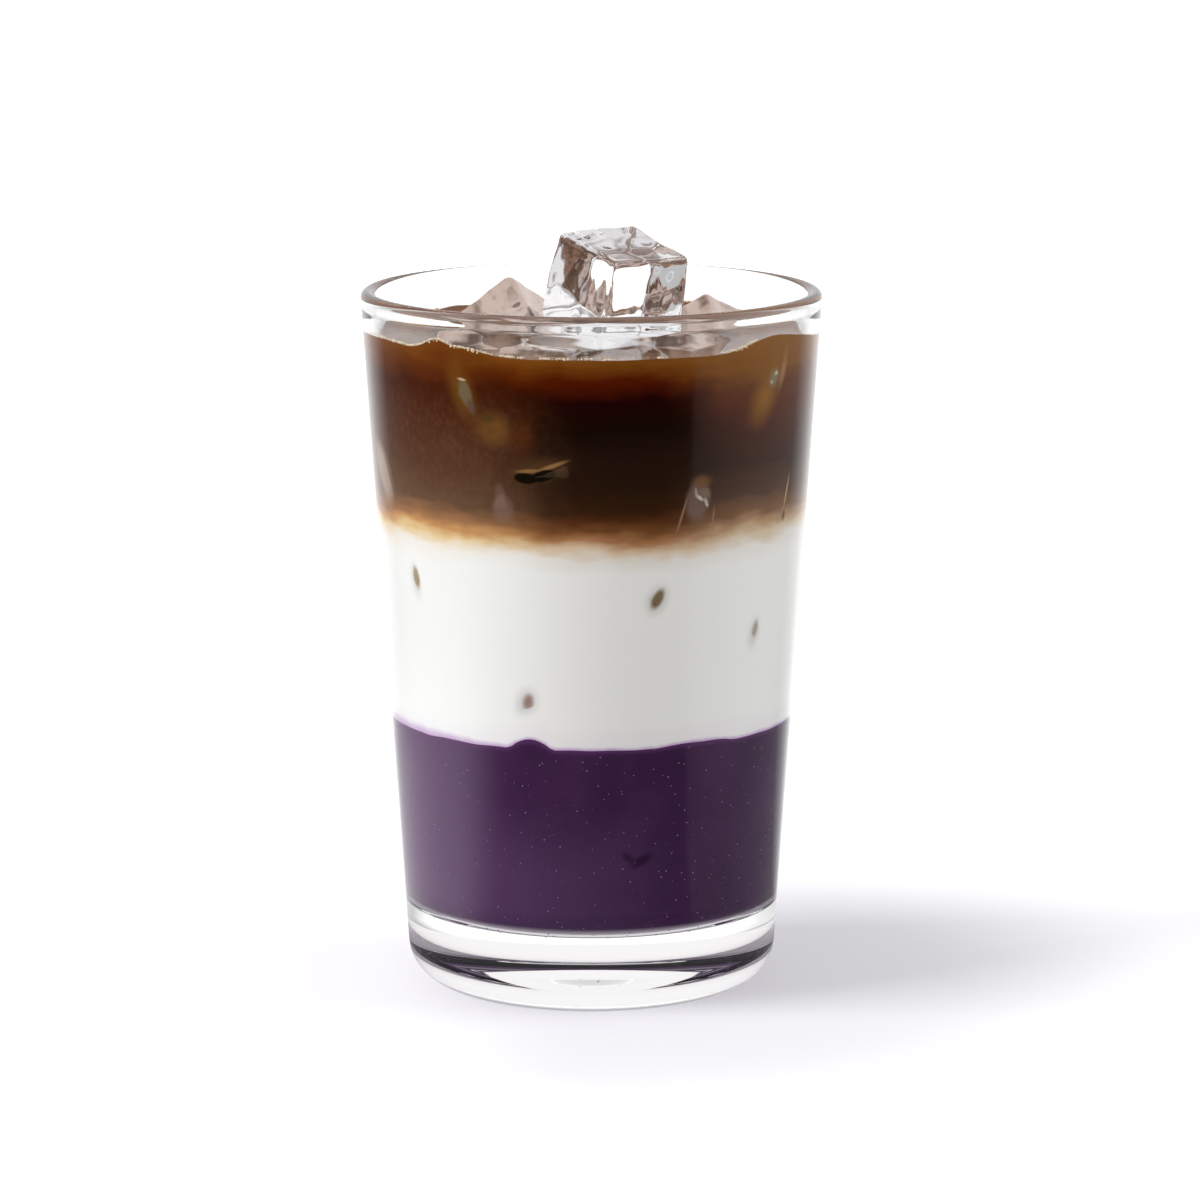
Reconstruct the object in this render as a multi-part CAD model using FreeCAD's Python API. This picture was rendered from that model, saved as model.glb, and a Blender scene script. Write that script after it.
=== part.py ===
"""An iced blueberry latte in a straight, tapering tumbler with a thick base.

From the bottom up: the glass, a layer of blueberry puree, a layer of milk, a layer of
coffee, and ice cubes, some standing out of the coffee and some just awash in it.
All sizes are in millimetres and angles in degrees. +Z is up, the origin is the middle
of the ring that the glass stands on, and -Y is the front.
"""
import FreeCAD
import Part
import math
import os

# The glass.
RIM_DIAMETER = 88.0       # over the outside of the rim, its widest place
GLASS_HEIGHT = 134.5
WALL = 2.9                # measured square to the wall
WALL_LEAN = 3.9           # degrees from upright, the same inside and out
FLOOR = 15.2              # solid glass under the drink
INNER_CORNER = 6.0        # radius between the floor and the wall, inside
HEEL = 8.5                # radius between the wall and the foot, outside
FOOT_WIDTH = 2.0          # flat ring that the glass stands on
PUNT = 4.5                # how far the underside domes up inside the ring

# The drink, counted up from the floor of the glass and down from its rim.
PUREE_DEPTH = 37.2
COFFEE_DEPTH = 34.5       # the milk fills what is left between puree and coffee
HEADSPACE = 8.5           # from the rim down to the flat of the coffee
MENISCUS_RISE = 0.8       # how far the coffee climbs the wall
MENISCUS_WIDTH = 2.4      # how far in from the wall that climb begins

# Swells where one layer domes up into the next: the heading of the middle, how far it
# lies in from the wall, the height and the half width. Headings run from the front,
# anticlockwise seen from above.
PUREE_SWELLS = [
    (-18.0, 1.0, 2.2, 4.2),
    (33.0, 5.0, 0.9, 9.0),
    (128.0, 6.0, 1.3, 10.0),
    (-112.0, 4.0, 1.1, 8.0),
]
MILK_SWELLS = [
    (-68.0, 5.0, 2.4, 12.0),
    (72.0, 5.0, 2.6, 12.0),
    (158.0, 8.0, 2.0, 13.0),
]

# The ice. Its tray gives each cube a wider end, which lies downwards before the cube is
# turned. Melting has rounded every edge and dished every face.
ICE_DRAFT = 2.6           # degrees that each side leans in towards the narrow end
ICE_ROUND = 1.5           # radius along the edges
ICE_DISH = 0.35           # depth of the hollow in each face
DISH_RIM = 0.8            # flat left between a hollow and the rounded edges

# Each cube: its three sizes, the heading of its middle, how far that is from the axis
# as a share of the coffee's radius, its height above the coffee, and the cube's turn,
# tip and roll. A cube gives way to the glass and to the cubes above it in the list.
ICE = {
    "ice_tall": ((19.1, 19.1, 17.6), 31.5, 0.225, 9.7, (38.1, 0.3, 15.7)),
    "ice_left": ((14.8, 15.4, 14.6), 231.3, 0.47, -1.9, (-12.5, -37.7, -33.7)),
    "ice_right": ((14.0, 14.4, 14.0), 113.0, 0.60, -4.0, (-22.0, -33.0, -27.0)),
    "ice_front_right": ((12.0, 12.4, 12.0), 46.0, 0.60, -5.3, (-25.6, -35.4, -23.6)),
    "ice_back": ((15.0, 14.2, 15.4), 161.0, 0.59, -4.8, (18.0, -28.0, -38.0)),
    "ice_front_left": ((12.2, 11.4, 12.4), -56.0, 0.74, -5.4, (25.0, -15.0, 20.0)),
    "ice_front": ((13.4, 12.2, 11.6), -20.0, 0.69, -5.0, (-16.0, 4.0, -5.0)),
}

# What follows is worked out from the values above.
ORIGIN = FreeCAD.Vector(0, 0, 0)
UP = FreeCAD.Vector(0, 0, 1)
TINY = 1e-6
BEYOND = 3 * max(RIM_DIAMETER, GLASS_HEIGHT)
lean = math.radians(WALL_LEAN)
draft = math.radians(ICE_DRAFT)
rim_round = WALL / 2
rim_middle = (RIM_DIAMETER / 2 - rim_round, GLASS_HEIGHT - rim_round)
puree_top = FLOOR + PUREE_DEPTH
coffee_top = GLASS_HEIGHT - HEADSPACE
milk_top = coffee_top - COFFEE_DEPTH


def wall_radius(height, outward):
    """Radius at a height of a line that lies outward of the middle of the wall."""
    rise = height - rim_middle[1]
    return rim_middle[0] + (outward + rise * math.sin(lean)) / math.cos(lean)


def inside_radius(height):
    return wall_radius(height, -rim_round)


def arc(middle, radius, first, last):
    """Start, halfway point and end of a profile arc, with angles up from outwards."""
    angles = [math.radians(angle) for angle in (first, (first + last) / 2, last)]
    return [(middle[0] + radius * math.cos(a), middle[1] + radius * math.sin(a))
            for a in angles]


def dome_radius(half_width, height):
    """Radius of the sphere whose cap has this half width and height."""
    return (half_width ** 2 + height ** 2) / (2 * height)


def heading_point(radius, heading, height):
    """The point at a heading from the front, anticlockwise seen from above."""
    angle = math.radians(heading - 90)
    return FreeCAD.Vector(radius * math.cos(angle), radius * math.sin(angle), height)


def revolve(profile):
    """Turn a closed profile about Z. It is a list of points and of arcs."""
    edges = []
    last = None
    for item in profile + profile[:1]:
        stops = item if isinstance(item, list) else [item]
        places = [FreeCAD.Vector(radius, 0, height) for radius, height in stops]
        if last is not None and last.distanceToPoint(places[0]) > TINY:
            edges.append(Part.LineSegment(last, places[0]).toShape())
        if len(places) == 3:
            edges.append(Part.Arc(*places).toShape())
        last = places[-1]
    face = Part.Face(Part.Wire(edges))
    return face.revolve(ORIGIN, UP, 360)


def inside_corner():
    """The arc from the floor of the glass up into its wall."""
    height = FLOOR + INNER_CORNER
    middle = (wall_radius(height, -rim_round - INNER_CORNER), height)
    return arc(middle, INNER_CORNER, -90, -WALL_LEAN)


def make_glass():
    """The tumbler: domed underside, foot ring, heel, wall, rounded rim and floor."""
    heel_middle = (wall_radius(HEEL, rim_round - HEEL), HEEL)
    ring_inside = heel_middle[0] - FOOT_WIDTH
    dome = dome_radius(ring_inside, PUNT)
    opening = math.degrees(math.asin(ring_inside / dome))
    return revolve([
        (0, PUNT),
        arc((0, PUNT - dome), dome, 90, 90 - opening),
        arc(heel_middle, HEEL, -90, -WALL_LEAN),
        arc(rim_middle, rim_round, -WALL_LEAN, 90),
        arc(rim_middle, rim_round, 90, 180 - WALL_LEAN),
        inside_corner()[::-1],
        (0, FLOOR),
    ])


def make_drink():
    """All of the liquid as one body, with the coffee's edge climbing the wall."""
    edge_height = coffee_top + MENISCUS_RISE
    curve = dome_radius(MENISCUS_WIDTH, MENISCUS_RISE)
    opening = math.degrees(math.asin(MENISCUS_WIDTH / curve))
    middle = (inside_radius(edge_height) - MENISCUS_WIDTH, coffee_top + curve)
    return revolve([
        (0, FLOOR),
        inside_corner(),
        arc(middle, curve, opening - 90, -90),
        (0, coffee_top),
    ])


def make_hollow():
    """The room inside the glass, carried straight on above the rim."""
    return revolve([
        (0, FLOOR),
        inside_corner(),
        (inside_radius(BEYOND), BEYOND),
        (0, BEYOND),
    ])


def swell(level, heading, inset, height, half_width):
    """A low dome of one layer that stands up into the layer above."""
    ball_radius = dome_radius(half_width, height)
    top = level + height
    middle = heading_point(inside_radius(level) - inset, heading, top - ball_radius)
    return Part.makeSphere(ball_radius, middle)


def below(level, swells):
    """Everything under a level, with the swells that stand above it."""
    space = Part.makeCylinder(BEYOND, BEYOND + level, FreeCAD.Vector(0, 0, -BEYOND))
    for each in swells:
        space = space.fuse(swell(level, *each))
    return space


def make_layers():
    """Puree, milk and coffee, each bedded on the uneven top of the one beneath."""
    drink = make_drink()
    puree = drink.common(below(puree_top, PUREE_SWELLS))
    rest = drink.cut(puree)
    milk = rest.common(below(milk_top, MILK_SWELLS))
    return puree, milk, rest.cut(milk)


def ice_block(sizes):
    """A block on the origin whose sides lean in towards the top by the tray's draft."""
    x, y, z = [size / 2 for size in sizes]
    splay = z * math.tan(draft)
    block = Part.makeWedge(-x - splay, -z, -y - splay, -y + splay, -x + splay,
                           x + splay, z, y + splay, y - splay, x - splay)
    block.rotate(ORIGIN, FreeCAD.Vector(1, 0, 0), 90)
    return block


def ice_cube(sizes):
    """A melted cube: a block with rounded edges and a shallow dish in each face."""
    cube = ice_block(sizes)
    cube = cube.makeFillet(ICE_ROUND, cube.Edges)
    for axis in range(3):
        across = [size for index, size in enumerate(sizes) if index != axis]
        half_width = min(across) / 2 - ICE_ROUND - DISH_RIM - sizes[2] * math.tan(draft) / 2
        ball_radius = dome_radius(half_width, ICE_DISH)
        tilt = draft if axis < 2 else 0.0
        for side in (-1, 1):
            face = [0.0, 0.0, 0.0]
            face[axis] = side * sizes[axis] / 2
            square = [0.0, 0.0, math.sin(tilt)]
            square[axis] = side * math.cos(tilt)
            middle = FreeCAD.Vector(*face) + FreeCAD.Vector(*square) * (ball_radius - ICE_DISH)
            cube = cube.cut(Part.makeSphere(ball_radius, middle))
    return cube


def make_ice():
    """Every cube in its place, trimmed by the glass and by the cubes before it."""
    hollow = make_hollow()
    placed = {}
    for name, (sizes, heading, share, rise, turns) in ICE.items():
        place = heading_point(share * inside_radius(coffee_top), heading, coffee_top + rise)
        cube = ice_cube(sizes)
        cube.Placement = FreeCAD.Placement(place, FreeCAD.Rotation(*turns))
        cube = cube.common(hollow)
        for other in placed.values():
            cube = cube.cut(other)
        placed[name] = cube
    return placed


def main():
    nodes = {"glass": make_glass()}
    puree, milk, coffee = make_layers()
    ice = make_ice()
    for cube in ice.values():
        coffee = coffee.cut(cube)
        milk = milk.cut(cube)
    nodes.update(blueberry_layer=puree, milk_layer=milk, coffee_layer=coffee, **ice)
    os.makedirs("parts", exist_ok=True)
    for name, shape in nodes.items():
        shape.exportStep(f"parts/{name}.step")
        print(f"{name:16s} solids {len(shape.Solids)} valid {shape.isValid()}"
              f" volume {shape.Volume / 1000:8.2f} ml top {shape.BoundBox.ZMax:6.1f}")


main()
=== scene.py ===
# %% [markdown]
# # An iced blueberry latte
# The drink stands in one thick-based tumbler: blueberry puree at the bottom, milk on it, coffee on
# top, and ice that breaks the surface. The pieces that make the shape are few, so almost all of the
# look comes from how clear glass bends light round opaque drink. Each step below makes one piece or
# one finish, and says what it is on the real thing.

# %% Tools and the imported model
import math
import random

import bmesh
import bpy
from mathutils import Euler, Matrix, Quaternion, Vector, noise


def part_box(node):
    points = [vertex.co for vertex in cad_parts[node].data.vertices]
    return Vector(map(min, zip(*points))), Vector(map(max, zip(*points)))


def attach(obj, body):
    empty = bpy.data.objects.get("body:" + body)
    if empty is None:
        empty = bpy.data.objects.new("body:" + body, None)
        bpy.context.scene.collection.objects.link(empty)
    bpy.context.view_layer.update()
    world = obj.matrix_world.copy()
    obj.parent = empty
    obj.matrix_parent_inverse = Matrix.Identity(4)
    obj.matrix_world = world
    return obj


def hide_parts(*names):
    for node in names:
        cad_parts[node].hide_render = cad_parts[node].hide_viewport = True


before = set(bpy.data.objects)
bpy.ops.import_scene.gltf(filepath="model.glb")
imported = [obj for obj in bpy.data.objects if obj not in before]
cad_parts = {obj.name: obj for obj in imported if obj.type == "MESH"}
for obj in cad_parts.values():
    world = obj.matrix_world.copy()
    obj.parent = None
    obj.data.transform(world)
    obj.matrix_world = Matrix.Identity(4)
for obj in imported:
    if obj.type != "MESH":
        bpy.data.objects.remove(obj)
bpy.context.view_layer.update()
MM = 0.001
print("nodes", sorted(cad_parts))

# %% [markdown]
# ## Sizes
# The imported solids say where everything is. The rim's radius, the glass's height and the height of its
# floor are read from their boxes, and the levels of the three layers are set from the rim and the floor.
# Wall, floor and corner sizes are those of the tumbler itself: a pressed glass with a wall that leans out by
# a few degrees and a heavy, clear foot.

# %% Sizes of the glass and levels of the drink
glass_low, glass_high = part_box("glass")
RIM_RADIUS = (glass_high[0] - glass_low[0]) / 2
HEIGHT = glass_high[2]
WALL = 2.9 * MM
LEAN = math.radians(3.9)
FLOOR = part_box("blueberry_layer")[0][2]
INNER_CORNER = 6.0 * MM
HEEL = 8.5 * MM
FOOT_WIDTH = 2.0 * MM
PUNT = 4.5 * MM
COFFEE_TOP = HEIGHT - 8.5 * MM
MILK_TOP = COFFEE_TOP - 34.5 * MM
PUREE_TOP = FLOOR + 37.2 * MM
BITE = 0.06 * MM          # how far the drink reaches into the glass, so that no air shows
ROUND_STEPS = 240         # faces round the glass
RIM_MIDDLE = (RIM_RADIUS - WALL / 2, HEIGHT - WALL / 2)
NECK = 0.07 * MM          # how much each face of the wall draws in under the fire-polished bead


def wall_radius(height, outward):
    """Radius at a height of a line that lies outward of the middle of the wall."""
    rise = height - RIM_MIDDLE[1]
    return RIM_MIDDLE[0] + (outward + rise * math.sin(LEAN)) / math.cos(LEAN)


def inside_radius(height):
    return wall_radius(height, -WALL / 2)


def arc(middle, radius, first, last, steps):
    """Points of a profile arc, its angles in degrees counted up from outwards."""
    angles = [math.radians(first + (last - first) * i / steps) for i in range(steps + 1)]
    return [(middle[0] + radius * math.cos(a), middle[1] + radius * math.sin(a)) for a in angles]


def smooth(low, high, value):
    """0 below low, 1 above high and an even S between them."""
    t = min(max((value - low) / (high - low), 0.0), 1.0)
    return t * t * (3 - 2 * t)


lean_degrees = math.degrees(LEAN)
print(f"rim {2000 * RIM_RADIUS:.1f} mm across, {1000 * HEIGHT:.1f} mm high")

# %% [markdown]
# ## One small language for nodes
# Materials, the world and the Geometry Nodes trees are all node trees. `Graph.add` makes any node
# from its type, its settings and what goes into its sockets. A `Value` wraps a socket, so that
# shader maths can be written as plain Python: `1 - mask` adds a Math node.

# %% Graph and Value
class Value:
    """An output socket that adds Math nodes when it is used in an expression."""

    def __init__(self, graph, socket):
        self.graph = graph
        self.socket = socket

    def math(self, operation, *others):
        made = self.graph.add("ShaderNodeMath", {"operation": operation}, [self, *others])
        return made

    def __add__(self, other):
        return self.math("ADD", other)

    def __radd__(self, other):
        return self.math("ADD", other)

    def __mul__(self, other):
        return self.math("MULTIPLY", other)

    def __rmul__(self, other):
        return self.math("MULTIPLY", other)

    def __sub__(self, other):
        return self.math("SUBTRACT", other)

    def __rsub__(self, other):
        return self.graph.add("ShaderNodeMath", {"operation": "SUBTRACT"}, [other, self])

    def __truediv__(self, other):
        return self.math("DIVIDE", other)

    def __pow__(self, other):
        return self.math("POWER", other)

    def least(self, other):
        return self.math("MINIMUM", other)

    def most(self, other):
        return self.math("MAXIMUM", other)

    def step(self, low, high, bottom=0.0, top=1.0):
        """bottom below low, top above high and an even S between them."""
        settings = {"interpolation_type": "SMOOTHSTEP"}
        return self.graph.add("ShaderNodeMapRange", settings, [self, low, high, bottom, top])


class Graph:
    """A node tree, with one way to add any node."""

    def __init__(self, tree):
        self.tree = tree

    def add(self, kind, settings=None, inputs=(), output=0):
        """A node of that type. Settings come first, then sockets by order or by name."""
        node = self.tree.nodes.new(kind)
        for name, value in (settings or {}).items():
            if name == "stops":
                self.set_stops(node.color_ramp, value)
            else:
                setattr(node, name, value)
        pairs = inputs.items() if isinstance(inputs, dict) else enumerate(inputs)
        for key, value in pairs:
            self.feed(node.inputs[key], value)
        return Value(self, node.outputs[output]) if len(node.outputs) else None

    def feed(self, socket, value):
        if isinstance(value, Value):
            self.tree.links.new(value.socket, socket)
        elif value is not None:
            socket.default_value = value

    def set_stops(self, ramp, stops):
        """Colour ramp stops as (place, colour), in order."""
        while len(ramp.elements) > 1:
            ramp.elements.remove(ramp.elements[-1])
        for index, (place, colour) in enumerate(stops):
            element = ramp.elements[0] if index == 0 else ramp.elements.new(place)
            element.position = place
            element.color = (*colour, 1.0)

    def other(self, value, name):
        """Another output of the node that a value comes from."""
        return Value(self, value.socket.node.outputs[name])

    def mix(self, factor, first, second):
        """Colours blended from first, at a factor of 0, to second, at 1."""
        made = self.add("ShaderNodeMix", {"data_type": "RGBA"})
        node = made.socket.node
        for index, value in ((0, factor), (6, first), (7, second)):
            if isinstance(value, tuple):
                value = (*value, 1.0)
            self.feed(node.inputs[index], value)
        return Value(self, node.outputs[2])

    def ramp(self, value, stops):
        return self.add("ShaderNodeValToRGB", {"stops": stops}, [value])

    def shaders(self, factor, first, second):
        return self.add("ShaderNodeMixShader", {}, [factor, first, second])

    def spot(self, plane, place, half, tilt=0.0, fade=0.0):
        """1 inside an ellipse of a flat plane and 0 outside, fading from a share of its size."""
        turned = {"Vector": plane, "Location": (*place, 0.0), "Scale": (*half, 1.0),
                  "Rotation": (0.0, 0.0, math.radians(tilt))}
        local = self.add("ShaderNodeMapping", {"vector_type": "TEXTURE"}, turned)
        length = self.add("ShaderNodeVectorMath", {"operation": "LENGTH"}, [local], "Value")
        return length.step(fade, 1.0, 1.0, 0.0)

    def light_path(self, name):
        return self.other(self.add("ShaderNodeLightPath"), name)


def material(name, build):
    """A new material whose tree is made by build(graph), which returns its shader."""
    made = bpy.data.materials.new(name)
    made.use_nodes = True
    made.node_tree.nodes.clear()
    graph = Graph(made.node_tree)
    graph.add("ShaderNodeOutputMaterial", {}, {"Surface": build(graph)})
    return made


def surface(graph, **inputs):
    """A Principled shader, its sockets named with underscores."""
    named = {name.replace("_", " "): value for name, value in inputs.items()}
    for name, value in named.items():
        if isinstance(value, tuple) and len(value) == 3:
            named[name] = (*value, 1.0)
    return graph.add("ShaderNodeBsdfPrincipled", {}, named)


# %% [markdown]
# ## Turned shapes
# A drinking glass is a figure of revolution, so its mesh is a profile turned about the axis. The
# `turn` helper takes a closed outline in radius and height that starts and ends on the axis. The
# layers of drink are turned too, but their tops are uneven, so a lift can be added to each ring.

# %% Turning a profile
def finish_mesh(name, mesh_tools, materials):
    """Turn finished bmesh data into an object with smooth faces that point outwards."""
    bmesh.ops.recalc_face_normals(mesh_tools, faces=mesh_tools.faces)
    mesh = bpy.data.meshes.new(name)
    mesh_tools.to_mesh(mesh)
    mesh_tools.free()
    for each in materials:
        mesh.materials.append(each)
    mesh.shade_smooth()
    made = bpy.data.objects.new(name, mesh)
    bpy.context.scene.collection.objects.link(made)
    print(f"{name}: {len(mesh.polygons)} faces")
    return made


def turn(name, profile, materials, lift=None, slot_of=None):
    """Turn (radius, height) points about Z. lift gives a point's height from its place, the
    leaning wall takes the point outwards as it rises, and the height before that is kept on
    the mesh as its level in millimetres."""
    tools = bmesh.new()
    level = tools.verts.layers.float.new("level")
    rings = []
    for radius, height in profile:
        around = 1 if radius < 1e-7 else ROUND_STEPS
        ring = []
        for i in range(around):
            a = 2 * math.pi * i / around
            x, y = radius * math.cos(a), radius * math.sin(a)
            z = lift(x, y, height) if lift else height
            wider = 1 + (z - height) * math.tan(LEAN) / inside_radius(height)
            vert = tools.verts.new((x * wider, y * wider, z))
            vert[level] = height / MM
            ring.append(vert)
        rings.append(ring)
    for step, (low, high) in enumerate(zip(rings, rings[1:])):
        for i in range(ROUND_STEPS):
            j = (i + 1) % ROUND_STEPS
            corners = [low[i % len(low)], low[j % len(low)], high[j % len(high)], high[i % len(high)]]
            corners = list(dict.fromkeys(corners))
            if len(corners) > 2:
                face = tools.faces.new(corners)
                face.material_index = slot_of(step) if slot_of else 0
    return finish_mesh(name, tools, materials)


# %% [markdown]
# ## Clear glass
# Soda glass bends light by 1.5 and mirrors more of it the more the surface turns away, which is
# why the sides of the tumbler go white. Light for the drink has to come through it, and a renderer
# finds such bent paths slowly. So rays that look for lamps, and those that gather soft light, pass
# straight through: two Mix Shaders driven by Light Path do that.

# %% Glass and ice finishes
def see_through(graph, body, tint):
    """Body for the eye, and a plain tinted hole for light on its way to what is inside."""
    hole = graph.add("ShaderNodeBsdfTransparent", {}, [(*tint, 1.0)])
    soft = graph.shaders(graph.light_path("Is Diffuse Ray"), body, hole)
    return graph.shaders(graph.light_path("Is Shadow Ray"), soft, hole)


def clear_glass(graph):
    body = surface(graph, Base_Color=(0.985, 0.995, 0.99), Roughness=0.0, IOR=1.5,
                   Transmission_Weight=1.0)
    return see_through(graph, body, (0.96, 0.965, 0.965))


glass_finish = material("clear_glass", clear_glass)

# %% [markdown]
# ## The tumbler
# The outline runs from the middle of the slightly domed underside, over the flat ring that it
# stands on, round the heel, up the leaning wall, over the fire-polished rim, down the inside and
# round the inner corner to the middle of the thick floor.

# %% The glass
def neck(height):
    """How far each face of the wall draws in just under the rim's bead."""
    return NECK * math.exp(-(((height - HEIGHT) / MM + 3.2) / 1.0) ** 2)


def glass_profile():
    heel_middle = (wall_radius(HEEL, WALL / 2 - HEEL), HEEL)
    ring_inside = heel_middle[0] - FOOT_WIDTH
    dome = (ring_inside ** 2 + PUNT ** 2) / (2 * PUNT)
    opening = math.degrees(math.asin(ring_inside / dome))
    corner_height = FLOOR + INNER_CORNER
    corner_middle = (wall_radius(corner_height, -WALL / 2 - INNER_CORNER), corner_height)
    profile = arc((0, PUNT - dome), dome, 90, 90 - opening, 16)
    profile += arc(heel_middle, HEEL, -90, -lean_degrees, 18)
    heights = [HEEL + (RIM_MIDDLE[1] - 6 * MM - HEEL) * i / 11 for i in range(1, 12)]
    heights += [RIM_MIDDLE[1] - 0.25 * MM * i for i in reversed(range(1, 23))]
    profile += [(wall_radius(h, WALL / 2) - neck(h), h) for h in heights]
    profile += arc(RIM_MIDDLE, WALL / 2, -lean_degrees, 180 - lean_degrees, 24)
    profile += [(inside_radius(h) + neck(h), h) for h in reversed(heights) if h > corner_height + WALL]
    profile += arc(corner_middle, INNER_CORNER, -lean_degrees, -90, 12)
    return profile + [(0, FLOOR)]


glass = turn("tumbler", glass_profile(), [glass_finish])
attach(glass, "root")
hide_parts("glass")

# %% [markdown]
# ## The layers of drink
# Puree, milk and coffee each fill the glass from wall to wall. Where two layers meet, the lower one
# has slow swells from being poured on. A layer is turned like the glass, and its top ring and the
# ones inside it are lifted by a height that depends on the place.

# %% Swells and levels
PUREE_SWELLS = [(-18.0, 1.0, 2.2, 4.2), (33.0, 5.0, 0.9, 9.0), (128.0, 6.0, 1.3, 10.0),
                (-112.0, 4.0, 1.1, 8.0)]


def heading_xy(radius, heading):
    """The place at a heading from the front, anticlockwise seen from above."""
    a = math.radians(heading - 90)
    return radius * math.cos(a), radius * math.sin(a)


def puree_level(x, y):
    """Height of the puree's top: its level, the swells and a little unevenness."""
    height = PUREE_TOP
    for heading, inset, rise, half_width in PUREE_SWELLS:
        middle = heading_xy(inside_radius(PUREE_TOP) - inset * MM, heading)
        distance = math.dist((x, y), middle) / (half_width * MM)
        height += rise * MM * max(0.0, 1 - distance ** 2)
    return height + 0.25 * MM * noise.noise(Vector((x, y, 0.0)) / (6 * MM))


def side_heights(low, high, steps):
    """Even heights up a side, with a close pair at each end that keeps its corners crisp."""
    between = [low + (high - low) * i / steps for i in range(1, steps)]
    return [low, low + 0.04 * MM] + between + [high - 0.04 * MM, high]


def puree_profile():
    corner_height = FLOOR + INNER_CORNER
    corner_middle = (wall_radius(corner_height, -WALL / 2 - INNER_CORNER), corner_height)
    profile = [(0, FLOOR - BITE)]
    profile += arc(corner_middle, INNER_CORNER + BITE, -90, -lean_degrees, 12)
    rows = side_heights(corner_height + MM, PUREE_TOP, 10)
    profile += [(inside_radius(h) + BITE, h) for h in rows]
    edge = inside_radius(PUREE_TOP)
    return profile + [(edge * share, PUREE_TOP) for share in (0.94, 0.85, 0.7, 0.5, 0.25, 0)]


def lift_puree(x, y, height):
    """Stretch the upper part of the puree up to its uneven top."""
    share = smooth(PUREE_TOP - 6 * MM, PUREE_TOP, height)
    return height + share * (puree_level(x, y) - PUREE_TOP)


# %% [markdown]
# ## Colours of the drink
# Everything below the surface is seen through the glass, so its finish has no gloss of its own.
# Its colour changes with height: coffee is amber where it is thin at the top, near black below, and fades
# through tan into the milk. Height is the level that `turn` keeps on the mesh.

# %% Where the cubes stand
ICE = {
    "ice_tall": ((19.1, 19.1, 17.6), 31.5, 0.225, 9.7, (38.1, 0.3, 15.7)),
    "ice_left": ((14.8, 15.4, 14.6), 231.3, 0.47, -1.9, (-12.5, -37.7, -33.7)),
    "ice_right": ((14.0, 14.4, 14.0), 113.0, 0.60, -4.0, (-22.0, -33.0, -27.0)),
    "ice_front_right": ((12.0, 12.4, 12.0), 46.0, 0.60, -5.3, (-25.6, -35.4, -23.6)),
    "ice_back": ((15.0, 14.2, 15.4), 161.0, 0.59, -4.8, (18.0, -28.0, -38.0)),
    "ice_front_left": ((12.2, 11.4, 12.4), -56.0, 0.74, -5.4, (25.0, -15.0, 20.0)),
    "ice_front": ((13.4, 12.2, 11.6), -20.0, 0.69, -5.0, (-16.0, 4.0, -5.0)),
}


def ice_middle(name):
    """Middle of a cube: its share of the way to the wall, and its rise above the coffee."""
    sizes, heading, share, rise, turns = ICE[name]
    place = heading_xy(share * inside_radius(COFFEE_TOP), heading)
    return Vector((*place, COFFEE_TOP + rise * MM))


# %% Drink finishes
def drink_place(graph):
    """The place in millimetres, its x and y, and the wall unrolled flat about the front."""
    place = graph.add("ShaderNodeTexCoord", {}, {}, "Object")
    scaled = graph.add("ShaderNodeVectorMath", {"operation": "SCALE"}, {"Vector": place, "Scale": 1000.0})
    x = graph.add("ShaderNodeSeparateXYZ", {}, [scaled])
    y = graph.other(x, "Y")
    round_wall = x.math("ARCTAN2", y * -1.0) * (inside_radius(COFFEE_TOP) / MM)
    level = graph.add("ShaderNodeAttribute", {"attribute_name": "level"}, {}, "Fac")
    wall = graph.add("ShaderNodeCombineXYZ", {}, [round_wall, level])
    return scaled, x, y, level, wall


def height_colour(graph, height, stops):
    """A ramp over the height in millimetres."""
    low, high = stops[0][0], stops[-1][0]
    share = (height - low) / (high - low)
    return graph.ramp(share, [((z - low) / (high - low), colour) for z, colour in stops])


def against_glass(graph, colour):
    """Drink wetting the glass: matt, and a mirror to light that skims it inside the glass."""
    body = surface(graph, Base_Color=colour, Roughness=1.0, Specular_IOR_Level=0.0)
    mirror = surface(graph, Base_Color=(0.95, 0.95, 0.95), Metallic=1.0, Roughness=0.0)
    skims = graph.add("ShaderNodeFresnel", {}, {"IOR": 0.9})
    return graph.shaders(skims, body, mirror)


def paint(graph, wall, colour, spots):
    """Lay soft ellipses over a colour: place, half sizes, tilt, fade, colour and strength."""
    for place, half, tilt, fade, tone, strength in spots:
        mask = graph.spot(wall, place, half, tilt, fade) * strength
        colour = graph.mix(mask, colour, tone)
    return colour


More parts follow.
